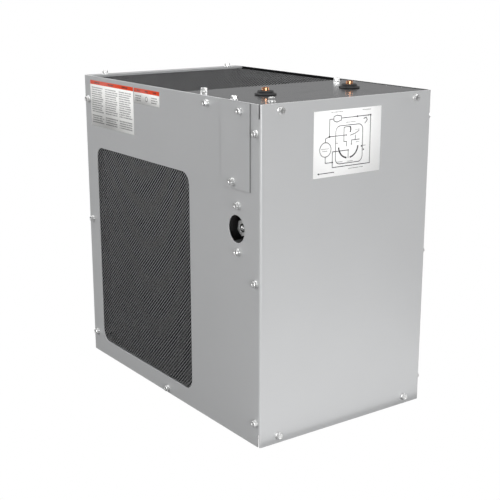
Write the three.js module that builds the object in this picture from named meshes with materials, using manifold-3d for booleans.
// Refrigerated air dryer: a sheet-metal cabinet with a refrigeration circuit that cools compressed air.
// Millimetres. +Z is up, +X is the side with the large grille, +Y is the rear, and the front faces -Y.
// The origin is the centre of the cabinet's footprint, on the surface it stands on.
import * as THREE from "three";
import { mergeVertices } from "three/addons/utils/BufferGeometryUtils.js";
import Module from "manifold-3d";

const wasm = await Module();
wasm.setup();

// ---- Driving dimensions ----
const CABINET_WIDTH = 274;
const CABINET_DEPTH = 443;
const CABINET_HEIGHT = 430;
const SHEET = 1.5; // steel sheet of every panel
const GAP = 0.3; // clearance between pieces that touch
const BEND_RADIUS = 3; // outside radius of the two rear corners
const FLANGE = 16; // height of the flanges that the screws go into
const CORNER_RELIEF = 22; // flanges stop this far from the corners

const SIDE_X = CABINET_WIDTH / 2;
const REAR_Y = CABINET_DEPTH / 2;
const INSIDE_X = SIDE_X - SHEET - GAP; // outer faces of the pans that nest inside the wrapper
const INSIDE_Y = REAR_Y - SHEET - GAP;
const FLOOR_TOP = FLANGE + SHEET;

const TOP_SPLIT_Y = 49; // where the solid rear top ends and the top grille begins
const TOP_FACE_Z = CABINET_HEIGHT - 0.6;
const TOP_GRILLE_Z = CABINET_HEIGHT - 3.5;
const FRONT_RIM = 18.5; // width of the front panel's top flange

const GRILLE = { y0: -192, y1: 65, z0: 24, z1: 326.4, corner: 17 };
const GRILLE_LAP = 6; // the perforated sheet laps the opening by this much
const SERVICE_HOLE = { y: 172, z: 273.6, r: 17.5 };
const COVER = { y0: 141, y1: 202, z0: 324, z1: CABINET_HEIGHT - 0.5 };

const FAN = { y: -63.5, z: 173, r: 101, hub: 27 };
const SHROUD_X = 91;
const COIL = { x0: 99, x1: 127, y0: -182, y1: 55, z0: 20, z1: 320 };
const COIL_PASSES = 10;
const COIL_END_Y = -200;

const COMPRESSOR = { x: -68, y: -118, r: 62, base: 36, seam: 104, top: 178 };
const STUB_TOP = 192;
const SUCTION_STUB = { x: COMPRESSOR.x - 28, y: COMPRESSOR.y };
const DISCHARGE_STUB = { x: COMPRESSOR.x + 24, y: COMPRESSOR.y };
const SERVICE_STUB = { x: COMPRESSOR.x, y: COMPRESSOR.y + 28 };

const JACKET = { x0: -50, x1: 62, y0: 82, y1: 194, z0: 62, z1: 330, wall: 10 };
const PORT_X = 68.6; // the air connections stand at plus and minus this
const PORT_Y = (JACKET.y0 + JACKET.y1) / 2;
const AIR_TUBE_R = 4.75;
const LINE_R = 4;
const THIN_LINE_R = 3;

const AIR_IN_X = 40; // where each line enters the heat exchanger
const AIR_OUT_X = -34;
const SUCTION_X = 6;
const FEED_X = 20;
const BYPASS_X = 44;
const WET_Z = 196;
const DRY_Z = 220;
const TUBE_TOP = CABINET_HEIGHT + 8.5;

const DRAIN = { x: -SIDE_X, y: 150, z: 44, r: 7 };
const SEPARATOR = { x: -96, y: PORT_Y, r: 30, z0: 96, z1: 200 };
const DIVIDER_Y = 76;
const VALVE_X = 90;
const VALVE_REACH = 14; // the valve's two side ports reach this far up and down

const CONTROL_Z = 352;
const GAUGE = { x: -72, r: 26 };
const ROCKER = { x: 6, w: 22, h: 30, tilt: 10 };
const LAMP = { x: 58, r: 7 };
const INLET = { x: 36, z: 62, w: 50, h: 30 };

// ---- Finishes ----
function finish(color, roughness, metalness) {
  return new THREE.MeshStandardMaterial({ color, roughness, metalness });
}

const FINISH = {
  cabinet: () => finish(0xa2a3a4, 0.42, 0.85),
  topSheet: () => finish(0x8a8b8c, 0.3, 0.85),
  grille: () => finish(0x77787a, 0.45, 0.8),
  plainSteel: () => finish(0x8d8f90, 0.5, 0.8),
  blackPaint: () => finish(0x15161a, 0.45, 0.1),
  copper: () => finish(0xb87046, 0.35, 0.95),
  brass: () => finish(0xb5984f, 0.35, 0.9),
  zinc: () => finish(0xc9cbcc, 0.28, 0.95),
  aluminium: () => finish(0xb9bcbe, 0.4, 0.9),
  coatedFins: () => finish(0x26282a, 0.5, 0.6),
  foam: () => finish(0x1d1e1f, 0.95, 0),
  rubber: () => finish(0x141414, 0.85, 0),
  blackPlastic: () => finish(0x1b1b1d, 0.5, 0),
  whitePlastic: () => finish(0xdadbd6, 0.45, 0),
  clearPlastic: () => finish(0xd6e0e4, 0.08, 0),
  red: () => finish(0xb3261a, 0.4, 0),
  green: () => finish(0x2f9a4a, 0.2, 0),
};

// ---- Solids ----
const dryer = new THREE.Group();

function place(name, geometry, material) {
  const mesh = new THREE.Mesh(geometry, material);
  mesh.name = name;
  dryer.add(mesh);
  return mesh;
}

function solidOf(geometry) {
  const bare = geometry.clone();
  bare.deleteAttribute("normal");
  bare.deleteAttribute("uv");
  const merged = mergeVertices(bare, 1e-4);
  return new wasm.Manifold(
    new wasm.Mesh({
      numProp: 3,
      vertProperties: new Float32Array(merged.attributes.position.array),
      triVerts: new Uint32Array(merged.index.array),
    }),
  );
}

function geometryOf(solid) {
  const mesh = solid.getMesh();
  const geometry = new THREE.BufferGeometry();
  geometry.setAttribute("position", new THREE.BufferAttribute(new Float32Array(mesh.vertProperties), 3));
  geometry.setIndex(new THREE.BufferAttribute(new Uint32Array(mesh.triVerts), 1));
  geometry.computeVertexNormals();
  return geometry;
}

const join = (...parts) => geometryOf(parts.map(solidOf).reduce((sum, part) => sum.add(part)));

function cut(base, ...tools) {
  const whole = solidOf(base);
  return geometryOf(tools.map(solidOf).reduce((rest, tool) => rest.subtract(tool), whole));
}

// A block between two corners.
function block(x0, x1, y0, y1, z0, z1) {
  const geometry = new THREE.BoxGeometry(x1 - x0, y1 - y0, z1 - z0);
  return geometry.translate((x0 + x1) / 2, (y0 + y1) / 2, (z0 + z1) / 2);
}

// Turns a shape that was built along +Z so that it lies along +X, +Y or +Z.
function along(geometry, axis) {
  if (axis === "x") return geometry.rotateY(Math.PI / 2);
  if (axis === "y") return geometry.rotateX(-Math.PI / 2);
  return geometry;
}

// A round bar of the given radius from one end to the other along an axis through (x, y, z).
function bar(axis, radius, from, to, at, sides = 16) {
  const geometry = new THREE.CylinderGeometry(radius, radius, to - from, sides);
  along(geometry.rotateX(Math.PI / 2), axis);
  const centre = { ...at, [axis]: (from + to) / 2 };
  return geometry.translate(centre.x, centre.y, centre.z);
}

// A turned piece: the profile lists [radius, distance along the axis] and starts and ends on the axis.
function turned(axis, profile, at, sides = 24) {
  const points = profile.map(([radius, height]) => new THREE.Vector2(radius, height));
  const geometry = new THREE.LatheGeometry(points, sides);
  along(geometry.rotateX(Math.PI / 2), axis);
  return geometry.translate(at.x, at.y, at.z);
}

function tubeAlong(points, radius, sides = 8, steps = 24) {
  const curve = new THREE.CatmullRomCurve3(points.map((p) => new THREE.Vector3(...p)), false, "centripetal");
  const circle = new THREE.Shape();
  for (let i = 0; i < sides; i += 1) {
    const angle = (2 * Math.PI * i) / sides;
    const corner = [radius * Math.cos(angle), radius * Math.sin(angle)];
    if (i === 0) circle.moveTo(...corner);
    else circle.lineTo(...corner);
  }
  circle.closePath();
  return new THREE.ExtrudeGeometry(circle, { steps, extrudePath: curve, bevelEnabled: false });
}

function roundedRectangle(width, height, radius) {
  const shape = new THREE.Shape();
  const x = width / 2;
  const y = height / 2;
  shape.moveTo(-x + radius, -y);
  shape.lineTo(x - radius, -y);
  shape.absarc(x - radius, -y + radius, radius, -Math.PI / 2, 0);
  shape.lineTo(x, y - radius);
  shape.absarc(x - radius, y - radius, radius, 0, Math.PI / 2);
  shape.lineTo(-x + radius, y);
  shape.absarc(-x + radius, y - radius, radius, Math.PI / 2, Math.PI);
  shape.lineTo(-x, -y + radius);
  shape.absarc(-x + radius, -y + radius, radius, Math.PI, 1.5 * Math.PI);
  return shape;
}

const extrude = (shape, depth, curveSegments = 4) =>
  new THREE.ExtrudeGeometry(shape, { depth, bevelEnabled: false, curveSegments });

// A regular hexagon of the given width across flats, extruded along X.
function hexagon(acrossFlats, from, to, at, turn = 0) {
  const radius = acrossFlats / Math.sqrt(3);
  const geometry = new THREE.CylinderGeometry(radius, radius, to - from, 6);
  geometry.rotateY(turn).rotateZ(Math.PI / 2);
  return geometry.translate((from + to) / 2, at.y, at.z);
}

// ---- Cabinet ----

// One sheet bent round the right side, the rear and the left side.
function makeWrapper() {
  const shape = new THREE.Shape();
  const inner = BEND_RADIUS - SHEET;
  const cornerX = SIDE_X - BEND_RADIUS;
  const cornerY = REAR_Y - BEND_RADIUS;
  shape.moveTo(SIDE_X, -REAR_Y);
  shape.lineTo(SIDE_X, cornerY);
  shape.absarc(cornerX, cornerY, BEND_RADIUS, 0, Math.PI / 2);
  shape.lineTo(-cornerX, REAR_Y);
  shape.absarc(-cornerX, cornerY, BEND_RADIUS, Math.PI / 2, Math.PI);
  shape.lineTo(-SIDE_X, -REAR_Y);
  shape.lineTo(-SIDE_X + SHEET, -REAR_Y);
  shape.lineTo(-SIDE_X + SHEET, cornerY);
  shape.absarc(-cornerX, cornerY, inner, Math.PI, Math.PI / 2, true);
  shape.lineTo(cornerX, REAR_Y - SHEET);
  shape.absarc(cornerX, cornerY, inner, Math.PI / 2, 0, true);
  shape.lineTo(SIDE_X - SHEET, -REAR_Y);
  shape.closePath();
  const sheet = extrude(shape, CABINET_HEIGHT, 6);

  const opening = extrude(
    roundedRectangle(GRILLE.z1 - GRILLE.z0, GRILLE.y1 - GRILLE.y0, GRILLE.corner), 10, 5);
  along(opening, "x").translate(SIDE_X - 5, (GRILLE.y0 + GRILLE.y1) / 2, (GRILLE.z0 + GRILLE.z1) / 2);
  const cuts = [
    opening,
    bar("x", SERVICE_HOLE.r, SIDE_X - 5, SIDE_X + 5, SERVICE_HOLE, 32),
    block(SIDE_X - 5, SIDE_X + 5, COVER.y0 + 12, COVER.y1 - 14, COVER.z0 + 22, COVER.z1 - 26),
    bar("x", DRAIN.r + 0.4, -SIDE_X - 5, -SIDE_X + 5, DRAIN, 16),
  ];
  // Saw cuts in both bends, top and bottom, where the flanges of the pans stop short.
  for (const side of [-1, 1]) {
    for (const z of [0, CABINET_HEIGHT - FLANGE]) {
      const x = side * (SIDE_X - BEND_RADIUS / 2);
      cuts.push(block(x - 5, x + 5, REAR_Y - 4.6, REAR_Y - 1.7, z - 1, z + FLANGE + 1));
    }
  }
  return cut(sheet, ...cuts);
}

// A level sheet that fits inside the wrapper, with its two rear corners rounded to suit the bends.
function nestedSheet(y0, z0, z1) {
  const radius = BEND_RADIUS - SHEET - GAP;
  const shape = new THREE.Shape();
  shape.moveTo(-INSIDE_X, y0);
  shape.lineTo(INSIDE_X, y0);
  shape.lineTo(INSIDE_X, INSIDE_Y - radius);
  shape.absarc(INSIDE_X - radius, INSIDE_Y - radius, radius, 0, Math.PI / 2);
  shape.lineTo(-INSIDE_X + radius, INSIDE_Y);
  shape.absarc(-INSIDE_X + radius, INSIDE_Y - radius, radius, Math.PI / 2, Math.PI);
  shape.closePath();
  return extrude(shape, z1 - z0, 4).translate(0, 0, z0);
}

// A raised floor with flanges down to the ground and narrow lips turned in under it.
function makeBasePan() {
  const lip = 14; // width of the lips it stands on
  const endX = INSIDE_X - CORNER_RELIEF;
  const endY = INSIDE_Y - CORNER_RELIEF;
  const parts = [nestedSheet(-INSIDE_Y, FLANGE, FLOOR_TOP)];
  for (const side of [-1, 1]) {
    const x0 = side > 0 ? INSIDE_X - SHEET : -INSIDE_X;
    const y0 = side > 0 ? INSIDE_Y - SHEET : -INSIDE_Y;
    const lipX = side > 0 ? INSIDE_X - lip : -INSIDE_X;
    const lipY = side > 0 ? INSIDE_Y - lip : -INSIDE_Y;
    parts.push(block(x0, x0 + SHEET, -endY, endY, 0, FLOOR_TOP));
    parts.push(block(lipX, lipX + lip, -endY, endY, 0, SHEET));
    parts.push(block(-endX, endX, y0, y0 + SHEET, 0, FLOOR_TOP));
    parts.push(block(-endX, endX, lipY, lipY + lip, 0, SHEET));
  }
  return join(...parts);
}

// The front is a shallow pan that nests between the wrapper's sides, with the holes for the controls.
function makeFrontPanel() {
  const flangeBottom = FLOOR_TOP + 2;
  const rearEdge = -REAR_Y + FLANGE;
  const rimEdge = -REAR_Y + FRONT_RIM;
  const panel = join(
    block(-INSIDE_X, INSIDE_X, -REAR_Y, -REAR_Y + SHEET, 0, CABINET_HEIGHT),
    block(-INSIDE_X, -INSIDE_X + SHEET, -REAR_Y, rearEdge, flangeBottom, CABINET_HEIGHT),
    block(INSIDE_X - SHEET, INSIDE_X, -REAR_Y, rearEdge, flangeBottom, CABINET_HEIGHT),
    block(-INSIDE_X, INSIDE_X, -REAR_Y, rimEdge, CABINET_HEIGHT - SHEET, CABINET_HEIGHT),
    block(-INSIDE_X, INSIDE_X, rimEdge - SHEET, rimEdge, TOP_GRILLE_Z + GAP, CABINET_HEIGHT),
  );
  const from = -REAR_Y - 3;
  const to = -REAR_Y + 5;
  return cut(
    panel,
    bar("y", GAUGE.r - 1.5, from, to, { x: GAUGE.x, z: CONTROL_Z }, 24),
    block(ROCKER.x - ROCKER.w / 2 + 1, ROCKER.x + ROCKER.w / 2 - 1, from, to,
      CONTROL_Z - ROCKER.h / 2 + 1, CONTROL_Z + ROCKER.h / 2 - 1),
    bar("y", LAMP.r - 1, from, to, { x: LAMP.x, z: CONTROL_Z }, 16),
    block(INLET.x - 14, INLET.x + 14, from, to, INLET.z - 10, INLET.z + 10),
  );
}

// The solid rear part of the top, with a flange turned down on each side.
function makeTopRearPanel() {
  const under = TOP_FACE_Z - SHEET;
  const bottom = TOP_FACE_Z - FLANGE;
  const endX = INSIDE_X - CORNER_RELIEF;
  const endY = INSIDE_Y - CORNER_RELIEF;
  const sheet = join(
    nestedSheet(TOP_SPLIT_Y, under, TOP_FACE_Z),
    block(-INSIDE_X, -INSIDE_X + SHEET, TOP_SPLIT_Y, endY, bottom, TOP_FACE_Z),
    block(INSIDE_X - SHEET, INSIDE_X, TOP_SPLIT_Y, endY, bottom, TOP_FACE_Z),
    block(-endX, endX, INSIDE_Y - SHEET, INSIDE_Y, bottom, TOP_FACE_Z),
    block(-INSIDE_X, INSIDE_X, TOP_SPLIT_Y, TOP_SPLIT_Y + SHEET, bottom, TOP_FACE_Z),
  );
  const holes = [-PORT_X, PORT_X].map((x) => bar("z", 11.4, bottom, CABINET_HEIGHT, { x, y: PORT_Y }, 20));
  return cut(sheet, ...holes);
}

// The top grille is a perforated sheet with side flanges, set a little below the rims round it.
function makeTopGrille() {
  const left = -INSIDE_X + 3.7;
  const right = INSIDE_X - 2.2;
  const front = -REAR_Y + 8;
  const rear = TOP_SPLIT_Y - GAP;
  const bottom = TOP_GRILLE_Z - 12;
  const sideFront = -REAR_Y + FRONT_RIM + 2;
  return join(
    block(left, right, front, rear, TOP_GRILLE_Z - SHEET, TOP_GRILLE_Z),
    block(left, left + SHEET, sideFront, rear, bottom, TOP_GRILLE_Z),
    block(right - SHEET, right, sideFront, rear, bottom, TOP_GRILLE_Z),
  );
}

// A wall between the warm condenser side and the cold heat exchanger, with the shelf for the exchanger.
// It is notched where pipes cross it, and the shelf has a slot for the two lines that rise through it.
function makeDivider() {
  const foot = FLOOR_TOP + GAP;
  const shelf = JACKET.z0 - GAP;
  const sheet = join(
    block(-INSIDE_X + 2, 90, DIVIDER_Y, DIVIDER_Y + SHEET, foot, 411),
    block(JACKET.x0, JACKET.x1, DIVIDER_Y, JACKET.y1, shelf - SHEET, shelf),
    block(JACKET.x0, JACKET.x1, JACKET.y1 - SHEET, JACKET.y1, foot, shelf),
  );
  return cut(
    sheet,
    block(-110, 4, DIVIDER_Y - 5, DIVIDER_Y + 5, 345, 420),
    block(14, 40, DIVIDER_Y - 5, DIVIDER_Y + 5, 0, shelf - 6),
    block(FEED_X - 8, BYPASS_X + 8, PORT_Y - 8, PORT_Y + 8, shelf - 5, shelf + 5),
  );
}

function makeCabinet() {
  place("wrapper", makeWrapper(), FINISH.cabinet());
  place("base_pan", makeBasePan(), FINISH.plainSteel());
  place("front_panel", makeFrontPanel(), FINISH.cabinet());
  place("top_rear_panel", makeTopRearPanel(), FINISH.topSheet());
  place("top_grille", makeTopGrille(), FINISH.grille());
  const grille = block(
    INSIDE_X - SHEET, INSIDE_X,
    GRILLE.y0 - GRILLE_LAP, GRILLE.y1 + GRILLE_LAP, GRILLE.z0 - GRILLE_LAP, GRILLE.z1 + GRILLE_LAP);
  place("right_grille", grille, FINISH.grille());
  const cover = block(SIDE_X + GAP, SIDE_X + GAP + 1, COVER.y0, COVER.y1, COVER.z0, COVER.z1);
  place("access_cover", cover, FINISH.cabinet());
  place("divider_panel", makeDivider(), FINISH.plainSteel());
}

// ---- Condenser and fan ----

function makeCondenser() {
  const x = (COIL.x0 + COIL.x1) / 2;
  const pitch = (COIL.z1 - COIL.z0 - 26) / (COIL_PASSES - 1);
  const firstZ = COIL.z0 + 13;
  const parts = [block(COIL.x0, COIL.x1, COIL.y0, COIL.y1, COIL.z0, COIL.z1)];
  for (let i = 0; i < COIL_PASSES - 1; i += 1) {
    const atRear = i % 2 === 0;
    const y = atRear ? COIL.y1 : COIL.y0;
    const out = atRear ? 1 : -1;
    const z = firstZ + pitch * i;
    const bend = [];
    for (let step = 0; step <= 6; step += 1) {
      const angle = (Math.PI * step) / 6;
      bend.push([x, y + out * 13 * Math.sin(angle), z + (pitch / 2) * (1 - Math.cos(angle))]);
    }
    const ends = [[x, y - out * 4, z], ...bend, [x, y - out * 4, z + pitch]];
    parts.push(tubeAlong(ends, LINE_R, 6, 9));
  }
  // The circuit's two ends come out at the front. Hot gas is taken off at the rear of the top pass.
  const lastZ = firstZ + pitch * (COIL_PASSES - 1);
  parts.push(bar("y", LINE_R, COIL_END_Y, COIL.y0 + 2, { x, z: firstZ }, 8));
  parts.push(bar("y", LINE_R, COIL_END_Y, COIL.y0 + 2, { x, z: lastZ }, 8));
  parts.push(bar("y", LINE_R, COIL.y1 - 2, COIL.y1 + 15, { x, z: lastZ }, 8));
  return join(...parts);
}

// A shallow box against the condenser with a round mouth for the fan.
function makeShroud() {
  const depth = COIL.x0 - GAP;
  const y0 = COIL.y0 - 1;
  const y1 = COIL.y1 + 1;
  const z0 = COIL.z0 - 2;
  const z1 = COIL.z1 + 2;
  const mouth = FAN.r + 5;
  const shell = join(
    cut(block(SHROUD_X, depth, y0, y1, z0, z1),
      block(SHROUD_X + SHEET, depth + 5, y0 + SHEET, y1 - SHEET, z0 + SHEET, z1 - SHEET)),
    bar("x", mouth + SHEET, SHROUD_X - 20, SHROUD_X + SHEET, FAN, 32),
  );
  return cut(shell, bar("x", mouth, SHROUD_X - 25, SHROUD_X + 5, FAN, 32));
}

// Five pitched blades on a hub with a bore for the shaft.
function makeFan() {
  const blades = 5;
  const hubFrom = 62;
  const hubTo = 86;
  const parts = [bar("x", FAN.hub, hubFrom, hubTo, FAN, 20)];
  for (let i = 0; i < blades; i += 1) {
    const outline = new THREE.Shape();
    outline.moveTo(FAN.hub - 4, -14);
    outline.quadraticCurveTo(60, -36, FAN.r - 4, -34);
    outline.quadraticCurveTo(FAN.r, -32, FAN.r - 1, -24);
    outline.quadraticCurveTo(FAN.r - 8, 14, 70, 20);
    outline.quadraticCurveTo(48, 24, FAN.hub - 4, 12);
    outline.closePath();
    const blade = extrude(outline, 2, 4);
    // The outline is pitched 22 degrees about its own length, then turned to its place.
    blade.translate(0, 0, -1).rotateX(THREE.MathUtils.degToRad(22)).rotateY(Math.PI / 2);
    blade.rotateX((2 * Math.PI * i) / blades).translate((hubFrom + hubTo) / 2, FAN.y, FAN.z);
    parts.push(blade);
  }
  return cut(join(...parts), bar("x", 4.3, hubFrom - 5, hubTo + 5, FAN, 12));
}

function makeMotorBracket() {
  const reach = 121;
  const half = 12;
  const x0 = 50 + GAP;
  const x1 = x0 + 2;
  const strap = join(
    block(x0, x1, FAN.y - half, FAN.y + half, FAN.z - reach, FAN.z + reach),
    block(x0, SHROUD_X - GAP, FAN.y - half, FAN.y + half, FAN.z - reach, FAN.z - reach + 2),
    block(x0, SHROUD_X - GAP, FAN.y - half, FAN.y + half, FAN.z + reach - 2, FAN.z + reach),
  );
  return cut(strap, bar("x", 9, x0 - 5, x1 + 5, FAN, 16));
}

function makeCondenserSide() {
  place("condenser_coil", makeCondenser(), FINISH.coatedFins());
  place("fan_shroud", makeShroud(), FINISH.blackPaint());
  place("fan_blade", makeFan(), FINISH.blackPlastic());
  place("fan_shaft", bar("x", 4, 22, 85, FAN, 12), FINISH.zinc());
  const bore = 4.6;
  const motor = [
    [0, 6], [20, 6], [32, 12], [36, 18], [36, 44], [30, 50], [bore, 50], [bore, 20], [0, 20],
  ];
  place("fan_motor", turned("x", motor, { x: 0, y: FAN.y, z: FAN.z }), FINISH.blackPaint());
  place("fan_motor_bracket", makeMotorBracket(), FINISH.plainSteel());
}

// ---- Compressor ----

function makeCompressor() {
  const at = { x: COMPRESSOR.x, y: COMPRESSOR.y, z: 0 };
  const { r, base, seam, top } = COMPRESSOR;
  const wall = 3;
  const lower = [
    [0, base], [r * 0.55, base], [r * 0.86, base + 8], [r, base + 24], [r, seam],
    [r - wall, seam], [r - wall, base + 26], [r * 0.82, base + 11.5],
    [r * 0.5, base + wall + 1], [0, base + wall + 1],
  ];
  const upper = [
    [0, top - wall], [r * 0.5, top - wall], [r * 0.8, top - 12], [r - wall, top - 28],
    [r - wall, seam + GAP], [r + 3, seam + GAP], [r + 3, seam + 4], [r, seam + 6],
    [r, top - 26], [r * 0.84, top - 8], [r * 0.55, top], [0, top],
  ];
  place("compressor_lower_shell", turned("z", lower, at, 28), FINISH.blackPaint());
  const stubPlaces = [SUCTION_STUB, DISCHARGE_STUB, SERVICE_STUB];
  const stubs = stubPlaces.map((stub) => bar("z", LINE_R, top - 6, STUB_TOP, stub, 10));
  place("compressor_upper_shell", join(turned("z", upper, at, 28), ...stubs), FINISH.blackPaint());

  // Stator ring with the rotor and its crankshaft inside.
  const stator = [[30, 58], [46, 58], [46, 108], [30, 108], [30, 58]];
  place("compressor_stator", turned("z", stator, at, 20), FINISH.plainSteel());
  const rotor = [
    [0, 48], [7, 48], [7, 62], [28, 62], [28, 104], [7, 104], [7, 126], [0, 126],
  ];
  place("compressor_rotor", turned("z", rotor, at, 20), FINISH.zinc());

  // The base plate stands on four rubber feet, each set in from a corner.
  const plate = { x0: at.x - 66, x1: at.x + 62, y0: at.y - 52, y1: at.y + 52, z0: 32, z1: 35 };
  const inset = 10;
  const sheet = block(plate.x0, plate.x1, plate.y0, plate.y1, plate.z0, plate.z1);
  place("compressor_base_plate", sheet, FINISH.blackPaint());
  const footTop = plate.z0 - GAP;
  const footBottom = FLOOR_TOP + GAP;
  const foot = [[0, footBottom], [10, footBottom], [7.5, 25], [10, footTop], [0, footTop]];
  let number = 1;
  for (const x of [plate.x0 + inset, plate.x1 - inset]) {
    for (const y of [plate.y0 + inset, plate.y1 - inset]) {
      place(`compressor_foot_${number}`, turned("z", foot, { x, y, z: 0 }, 12), FINISH.rubber());
      number += 1;
    }
  }
  const coverY = at.y + r + 0.5;
  const cover = block(at.x - 24, at.x + 24, coverY, coverY + 24, 62, 98);
  place("compressor_terminal_cover", cover, FINISH.blackPlastic());
}

// ---- Heat exchanger and air path ----

function makeHeatExchanger() {
  const { x0, x1, y0, y1, z0, z1, wall } = JACKET;
  const inset = wall + GAP;
  const core = block(x0 + inset, x1 - inset, y0 + inset, y1 - inset, z0 + inset, z1 - inset);
  place("heat_exchanger_core", core, FINISH.aluminium());
  const passages = [
    bar("z", AIR_TUBE_R + 0.4, z1 - 20, z1 + 5, { x: AIR_IN_X, y: PORT_Y }, 12),
    bar("z", AIR_TUBE_R + 0.4, z1 - 20, z1 + 5, { x: AIR_OUT_X, y: PORT_Y }, 12),
    bar("z", LINE_R + 0.4, z1 - 20, z1 + 5, { x: SUCTION_X, y: PORT_Y }, 12),
    bar("z", THIN_LINE_R + 0.4, z0 - 5, z0 + 20, { x: FEED_X, y: PORT_Y }, 12),
    bar("z", THIN_LINE_R + 0.4, z0 - 5, z0 + 20, { x: BYPASS_X, y: PORT_Y }, 12),
    bar("x", AIR_TUBE_R + 0.4, x0 - 5, x0 + 20, { y: PORT_Y, z: WET_Z }, 12),
    bar("x", AIR_TUBE_R + 0.4, x0 - 5, x0 + 20, { y: PORT_Y, z: DRY_Z }, 12),
  ];
  const hollow = block(x0 + wall, x1 - wall, y0 + wall, y1 - wall, z0 + wall, z1 - wall);
  const front = cut(block(x0, x1, y0, PORT_Y - GAP / 2, z0, z1), hollow, ...passages);
  const rear = cut(block(x0, x1, PORT_Y + GAP / 2, y1, z0, z1), hollow, ...passages);
  place("insulation_front_half", front, FINISH.foam());
  place("insulation_rear_half", rear, FINISH.foam());
}

// A copper air tube from the heat exchanger up through the top, open at its end.
function makeAirTube(fromX, toX) {
  const start = JACKET.z1 - JACKET.wall + GAP;
  const step = (toX - fromX) * 0.2;
  const route = [
    [fromX, PORT_Y, start], [fromX, PORT_Y, start + 26], [fromX + step, PORT_Y, start + 42],
    [toX - step, PORT_Y, start + 58], [toX, PORT_Y, start + 74], [toX, PORT_Y, start + 92],
    [toX, PORT_Y, TUBE_TOP],
  ];
  const bore = bar("z", AIR_TUBE_R - 1, TUBE_TOP - 14, TUBE_TOP + 5, { x: toX, y: PORT_Y }, 12);
  return cut(tubeAlong(route, AIR_TUBE_R, 12, 18), bore);
}

// A rubber grommet in the top panel: a broad flange, and a narrower collar with a hole for the tube.
function makeGrommet(x) {
  const face = TOP_FACE_Z + GAP;
  const bore = AIR_TUBE_R + 0.4;
  const profile = [
    [bore, face - 8], [10.8, face - 8], [10.8, face], [14, face], [14, face + 1.6],
    [10.6, face + 2], [10.4, face + 4.6], [bore, face + 5], [bore, face - 8],
  ];
  return turned("z", profile, { x, y: PORT_Y, z: 0 }, 20);
}

function makeSeparator() {
  const at = { x: SEPARATOR.x, y: SEPARATOR.y, z: 0 };
  const { r, z0, z1 } = SEPARATOR;
  const wall = 3;
  const drainHole = 5;
  const bowlTop = z1 - 14;
  const bowl = [
    [drainHole, z0], [r - 10, z0], [r, z0 + 10], [r, bowlTop], [r - wall, bowlTop],
    [r - wall, z0 + 12], [r - 11, z0 + wall], [drainHole, z0 + wall], [drainHole, z0],
  ];
  place("separator_bowl", turned("z", bowl, at, 24), FINISH.aluminium());
  const headBottom = bowlTop + GAP;
  const headTop = DRY_Z + 12;
  const head = [
    [0, headBottom], [r + 2, headBottom], [r + 2, headTop - 6], [r - 4, headTop], [0, headTop],
  ];
  const ports = [WET_Z, DRY_Z].map((z) =>
    bar("x", AIR_TUBE_R + 0.4, at.x + 10, at.x + 50, { y: at.y, z }, 12));
  place("separator_head", cut(turned("z", head, at, 24), ...ports), FINISH.aluminium());

  // The float has a needle that closes the drain hole in the bottom of the bowl.
  const seat = z0 + wall + 0.6;
  const float = [
    [0, z0 - 3], [3.6, z0 - 3], [3.6, seat], [18, seat], [22, seat + 6],
    [22, seat + 26], [18, seat + 30], [0, seat + 30],
  ];
  place("drain_float", turned("z", float, at, 20), FINISH.whitePlastic());

  const bodyTop = z0 - GAP;
  const body = [
    [drainHole, bodyTop], [drainHole, 84], [0, 84], [0, 52], [11, 52], [16, 60], [16, bodyTop],
    [drainHole, bodyTop],
  ];
  const outlet = bar("y", 5, at.y + 8, at.y + 22, { x: at.x, z: 68 }, 12);
  place("drain_valve_body", join(turned("z", body, at, 20), outlet), FINISH.brass());
  const knob = [[0, 40], [11, 40], [12.5, 42], [12.5, 49], [11, 51.4], [0, 51.4]];
  const wings = block(at.x - 16, at.x + 16, at.y - 2, at.y + 2, 41, 48);
  place("drain_knob", join(turned("z", knob, at, 20), wings), FINISH.blackPlastic());
}

function makeAirPath() {
  const xCore = JACKET.x0 + JACKET.wall;
  const xHead = SEPARATOR.x + 10 + GAP;
  place("air_inlet_tube", makeAirTube(AIR_IN_X, PORT_X), FINISH.copper());
  place("air_outlet_tube", makeAirTube(AIR_OUT_X, -PORT_X), FINISH.copper());
  place("inlet_grommet", makeGrommet(PORT_X), FINISH.rubber());
  place("outlet_grommet", makeGrommet(-PORT_X), FINISH.rubber());
  const wet = bar("x", AIR_TUBE_R, xHead, xCore, { y: PORT_Y, z: WET_Z }, 12);
  place("crossover_tube_wet", wet, FINISH.copper());
  const dry = bar("x", AIR_TUBE_R, xHead, xCore, { y: PORT_Y, z: DRY_Z }, 12);
  place("crossover_tube_dry", dry, FINISH.copper());
}

function makeDrain() {
  const { x, y, z, r } = DRAIN;
  const inner = x + 14;
  const profile = [
    [0, x - 4.6], [5.5, x - 4.6], [5.5, x - 4], [11, x - 4], [11, x - GAP], [r, x - GAP],
    [r, inner], [3.4, inner], [3.4, inner + 6], [0, inner + 6],
  ];
  const fitting = cut(turned("x", profile, { x: 0, y, z }, 20), bar("x", 3, x - 10, x + 6, { y, z }, 12));
  place("drain_fitting", fitting, FINISH.blackPlastic());
  const startX = SEPARATOR.x;
  const startY = SEPARATOR.y + 22 + GAP;
  const end = inner + 6 + GAP;
  const route = [
    [startX, startY, 68], [startX, startY + 8, 68], [startX, startY + 17, 62], [startX, startY + 17, 52],
    [startX - 4, y + 14, z + 2], [end + 8, y, z], [end, y, z],
  ];
  place("drain_tube", tubeAlong(route, THIN_LINE_R, 8, 20), FINISH.whitePlastic());
}

// ---- Refrigerant lines ----

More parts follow.
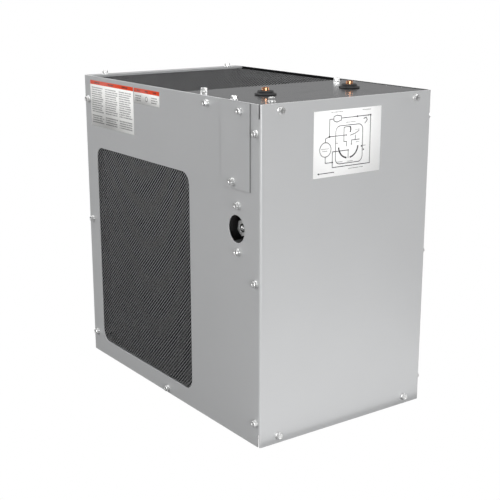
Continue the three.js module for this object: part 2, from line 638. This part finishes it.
function makeLines() {
  const coilX = (COIL.x0 + COIL.x1) / 2;
  const lowZ = COIL.z0 + 13;
  const highZ = COIL.z1 - 13;
  const start = STUB_TOP + GAP;
  const frontEnd = COIL_END_Y - GAP;
  const discharge = [
    [DISCHARGE_STUB.x, DISCHARGE_STUB.y, start], [DISCHARGE_STUB.x, DISCHARGE_STUB.y, start + 18],
    [-30, -150, 240], [10, -190, 280], [60, -207, 300], [94, -214, highZ - 1],
    [coilX - 4, -214, highZ], [coilX, -208, highZ], [coilX, frontEnd, highZ],
  ];
  place("discharge_line", tubeAlong(discharge, LINE_R, 8, 30), FINISH.copper());

  const drierAt = { x: 30, y: 0, z: 46 };
  const drierEnds = [-150, -64];
  const liquid = [
    [coilX, frontEnd, lowZ], [coilX, -208, lowZ], [coilX - 4, -214, lowZ], [94, -214, lowZ + 1],
    [60, -211, 42], [36, -204, 45], [drierAt.x, -190, drierAt.z], [drierAt.x, -160, drierAt.z],
    [drierAt.x, drierEnds[0] - GAP, drierAt.z],
  ];
  place("liquid_line", tubeAlong(liquid, THIN_LINE_R, 8, 24), FINISH.copper());

  const drier = [
    [0, drierEnds[0]], [4, drierEnds[0]], [5, -146], [11, -138], [11, -76], [5, -68],
    [4, drierEnds[1]], [0, drierEnds[1]],
  ];
  place("filter_drier", turned("y", drier, drierAt, 16), FINISH.copper());

  // Capillary from the drier, with three turns about a vertical axis, to the foot of the heat exchanger.
  const turns = 3;
  const stepsPerTurn = 10;
  const coil = { x: drierAt.x, y: 14, r: 16, z0: drierAt.z, rise: 7 };
  const capillary = [
    [drierAt.x, drierEnds[1] + GAP, drierAt.z], [drierAt.x, -44, drierAt.z],
    [coil.x + 6, coil.y - coil.r - 12, coil.z0],
  ];
  for (let i = 2; i < turns * stepsPerTurn; i += 1) {
    const angle = (2 * Math.PI * i) / stepsPerTurn;
    const x = coil.x + coil.r * Math.sin(angle);
    const y = coil.y - coil.r * Math.cos(angle);
    capillary.push([x, y, coil.z0 + (coil.rise * i) / stepsPerTurn]);
  }
  capillary.push([coil.x - 4, coil.y + 30, 64]);
  capillary.push([26, 84, 48]);
  capillary.push([FEED_X, PORT_Y - 18, 42]);
  capillary.push([FEED_X, PORT_Y, 52]);
  capillary.push([FEED_X, PORT_Y, JACKET.z0 + JACKET.wall]);
  place("capillary_tube", tubeAlong(capillary, 1.6, 5, 66), FINISH.copper());

  const suction = [
    [SUCTION_X, PORT_Y, JACKET.z1 - JACKET.wall + GAP], [SUCTION_X, PORT_Y, 334],
    [SUCTION_X, PORT_Y, 346], [0, PORT_Y - 20, 366], [-30, DIVIDER_Y + 10, 376], [-52, 50, 372],
    [-80, 0, 330], [-98, -50, 270], [SUCTION_STUB.x, SUCTION_STUB.y + 14, 226],
    [SUCTION_STUB.x, SUCTION_STUB.y, 208], [SUCTION_STUB.x, SUCTION_STUB.y, start],
  ];
  place("suction_line", tubeAlong(suction, LINE_R, 8, 34), FINISH.copper());

  const valveY = SERVICE_HOLE.y;
  const valveTop = SERVICE_HOLE.z + VALVE_REACH + GAP;
  const hotGas = [
    [coilX, COIL.y1 + 15 + GAP, highZ], [coilX, 96, highZ + 2], [coilX - 6, 140, highZ + 10],
    [VALVE_X + 3, valveY - 7, highZ + 8], [VALVE_X, valveY, highZ - 2], [VALVE_X, valveY, valveTop],
  ];
  place("hot_gas_line", tubeAlong(hotGas, THIN_LINE_R, 8, 22), FINISH.copper());

  const valveBottom = SERVICE_HOLE.z - VALVE_REACH - GAP;
  const bypass = [
    [VALVE_X, valveY, valveBottom], [VALVE_X, valveY, 200], [VALVE_X, valveY, 90],
    [VALVE_X - 4, valveY - 6, 56], [66, 152, 40], [BYPASS_X + 2, PORT_Y + 2, 46],
    [BYPASS_X, PORT_Y, 58], [BYPASS_X, PORT_Y, JACKET.z0 + JACKET.wall],
  ];
  place("bypass_line", tubeAlong(bypass, THIN_LINE_R, 8, 28), FINISH.copper());
}

// ---- Bypass valve behind the service hole ----

function makeBypassValve() {
  const { y, z } = SERVICE_HOLE;
  const webX = 108;
  const neck = 8;
  const hexFrom = webX + SHEET + GAP;
  const hexTo = SIDE_X - 9;
  const barrel = [
    [0, 72], [9, 72], [13, 76], [13, 104], [9, webX - GAP], [neck, webX - GAP],
    [neck, hexFrom + 1], [0, hexFrom + 1],
  ];
  const body = join(
    turned("x", barrel, { x: 0, y, z }, 20),
    bar("z", 5, z - VALVE_REACH, z + VALVE_REACH, { x: VALVE_X, y }, 12),
    hexagon(19.5, hexFrom, hexTo, { y, z }, THREE.MathUtils.degToRad(12)),
  );
  const well = bar("x", 5.4, hexTo - 16, hexTo + 5, { y, z }, 20);
  place("bypass_valve_body", cut(body, well), FINISH.zinc());

  // The adjusting stem is a domed pin.
  const tip = SIDE_X - 7;
  const foot = hexTo - 15;
  const r = 3.5;
  const dome = [0, 22.5, 45, 67.5].map((deg) => {
    const angle = THREE.MathUtils.degToRad(deg);
    return [r * Math.cos(angle), tip - r + r * Math.sin(angle)];
  });
  const stem = turned("x", [[0, foot], [r, foot], ...dome, [0, tip]], { x: 0, y, z }, 16);
  place("bypass_stem", stem, FINISH.zinc());

  // A hat-shaped bracket: two ears behind the panel, two legs, and a web round the valve's neck.
  const earX = SIDE_X - SHEET - GAP;
  const half = 16;
  const legZ = 20;
  const earZ = 38;
  const bracket = join(
    block(webX, webX + SHEET, y - half, y + half, z - legZ, z + legZ),
    block(webX, earX, y - half, y + half, z + legZ - SHEET, z + legZ),
    block(webX, earX, y - half, y + half, z - legZ, z - legZ + SHEET),
    block(earX - SHEET, earX, y - half, y + half, z + legZ - SHEET, z + earZ),
    block(earX - SHEET, earX, y - half, y + half, z - earZ, z - legZ + SHEET),
  );
  const hole = bar("x", neck + 0.4, webX - 5, webX + 5, { y, z }, 20);
  place("valve_bracket", cut(bracket, hole), FINISH.plainSteel());
}

// ---- Electrics and controls ----

function makeElectrics() {
  const box = { x0: -8, x1: 66, y0: 6, y1: DIVIDER_Y - GAP, z0: 326, z1: 400 };
  const shell = cut(block(box.x0, box.x1, box.y0, box.y1, box.z0, box.z1),
    block(box.x0 + SHEET, box.x1 - SHEET, box.y0 - 5, box.y1 - SHEET, box.z0 + SHEET, box.z1 - SHEET));
  place("electrical_box", shell, FINISH.plainSteel());
  const terminalBack = box.y1 - SHEET - GAP;
  const terminals = block(
    box.x0 + 8, box.x1 - 8, box.y1 - 20, terminalBack, box.z1 - 24, box.z1 - 8);
  place("terminal_block", terminals, FINISH.whitePlastic());
  const floor = box.z0 + SHEET + GAP;
  const can = [
    [0, floor], [15, floor], [16, floor + 2], [16, floor + 36], [13, floor + 38], [0, floor + 38],
  ];
  const canAt = { x: (box.x0 + box.x1) / 2, y: box.y1 - 26, z: 0 };
  place("run_capacitor", turned("z", can, canAt, 20), FINISH.aluminium());
}

function makeControls() {
  const face = -REAR_Y - GAP;
  const inside = -REAR_Y + SHEET + GAP;

  // Gauge: a bezel in front of the panel, a cup through it and a cover glass.
  const rim = GAUGE.r;
  const cup = rim - 2;
  const gaugeAt = { x: GAUGE.x, y: 0, z: CONTROL_Z };
  const caseProfile = [
    [0, face + 4], [rim - 3, face + 4], [rim - 3, face - 3.6], [rim, face - 3], [rim, face],
    [cup, face], [cup, face + 26], [0, face + 26],
  ];
  place("gauge_case", turned("y", caseProfile, gaugeAt, 28), FINISH.blackPlastic());
  const lens = [[0, face - 2.8], [rim - 3.3, face - 2.8], [rim - 3.3, face - 1.3], [0, face - 1.3]];
  place("gauge_lens", turned("y", lens, gaugeAt, 28), FINISH.clearPlastic());
  const needle = join(
    block(-0.8, 0.8, face + 1, face + 2, -5, rim - 8),
    bar("y", 3, face + 0.2, face + 3.4, { x: 0, z: 0 }, 12),
  );
  const needleMesh = place("gauge_needle", needle, FINISH.red());
  needleMesh.position.set(GAUGE.x, 0, CONTROL_Z);
  needleMesh.rotation.y = THREE.MathUtils.degToRad(-120);

  // Power rocker in its frame.
  const w = ROCKER.w / 2;
  const h = ROCKER.h / 2;
  // A block in front of the panel, behind it or through it, set in from the frame's outline.
  const inFrame = (inset, from, to) => block(
    ROCKER.x - w + inset, ROCKER.x + w - inset, from, to, CONTROL_Z - h + inset, CONTROL_Z + h - inset);
  const flange = inFrame(0, face - 2, face);
  const sleeve = inFrame(1.5, face - 1, face + 20);
  const well = inFrame(3, face - 5, face + 14);
  place("rocker_frame", cut(join(flange, sleeve), well), FINISH.blackPlastic());
  const paddle = new THREE.Shape();
  const top = h - 4.2;
  paddle.moveTo(-3.4, -top + 1);
  paddle.lineTo(-2.2, 0);
  paddle.lineTo(-3.4, top - 1);
  paddle.lineTo(2, top - 1);
  paddle.lineTo(7, 4);
  paddle.lineTo(7, -4);
  paddle.lineTo(2, -top + 1);
  paddle.closePath();
  const width = ROCKER.w - 7.2;
  const button = extrude(paddle, width, 1).translate(0, 0, -width / 2);
  // The paddle's outline is drawn in depth and height, so it is turned to stand upright across the panel.
  button.applyMatrix4(new THREE.Matrix4().makeBasis(
    new THREE.Vector3(0, 1, 0), new THREE.Vector3(0, 0, 1), new THREE.Vector3(1, 0, 0)));
  const buttonMesh = place("rocker_button", button, FINISH.red());
  buttonMesh.position.set(ROCKER.x, face + 1, CONTROL_Z);
  buttonMesh.rotation.x = THREE.MathUtils.degToRad(-ROCKER.tilt);

  const lampProfile = [
    [0, face - 4], [3, face - 3.4], [LAMP.r - 2, face - 2], [LAMP.r, face - 2], [LAMP.r, face],
    [LAMP.r - 1.5, face], [LAMP.r - 1.5, face + 18], [0, face + 18],
  ];
  place("pilot_lamp", turned("y", lampProfile, { x: LAMP.x, y: 0, z: CONTROL_Z }, 20), FINISH.green());

  makePowerInlet(face, inside);
}

// Appliance inlet: a flange, a body behind it, a recess and three contact blades.
function makePowerInlet(face, inside) {
  const { x, z, w, h } = INLET;
  const recess = inside + 14;
  const shell = cut(
    join(block(x - w / 2, x + w / 2, face - 2, face, z - h / 2, z + h / 2),
      block(x - 13.7, x + 13.7, face - 1, recess + 3, z - 9.7, z + 9.7)),
    block(x - 12, x + 12, face - 5, recess, z - 8, z + 8),
  );
  const blades = [[-7, -2], [0, 2], [7, -2]].map(([dx, dz]) => {
    const bladeX = x + dx;
    const bladeZ = z + dz;
    return block(bladeX - 1, bladeX + 1, recess - 8, recess + 1, bladeZ - 2.5, bladeZ + 2.5);
  });
  place("power_inlet", join(shell, ...blades), FINISH.blackPlastic());
}

makeCabinet();
makeCondenserSide();
makeCompressor();
makeHeatExchanger();
makeSeparator();
makeAirPath();
makeDrain();
makeLines();
makeBypassValve();
makeElectrics();
makeControls();

export default dryer;
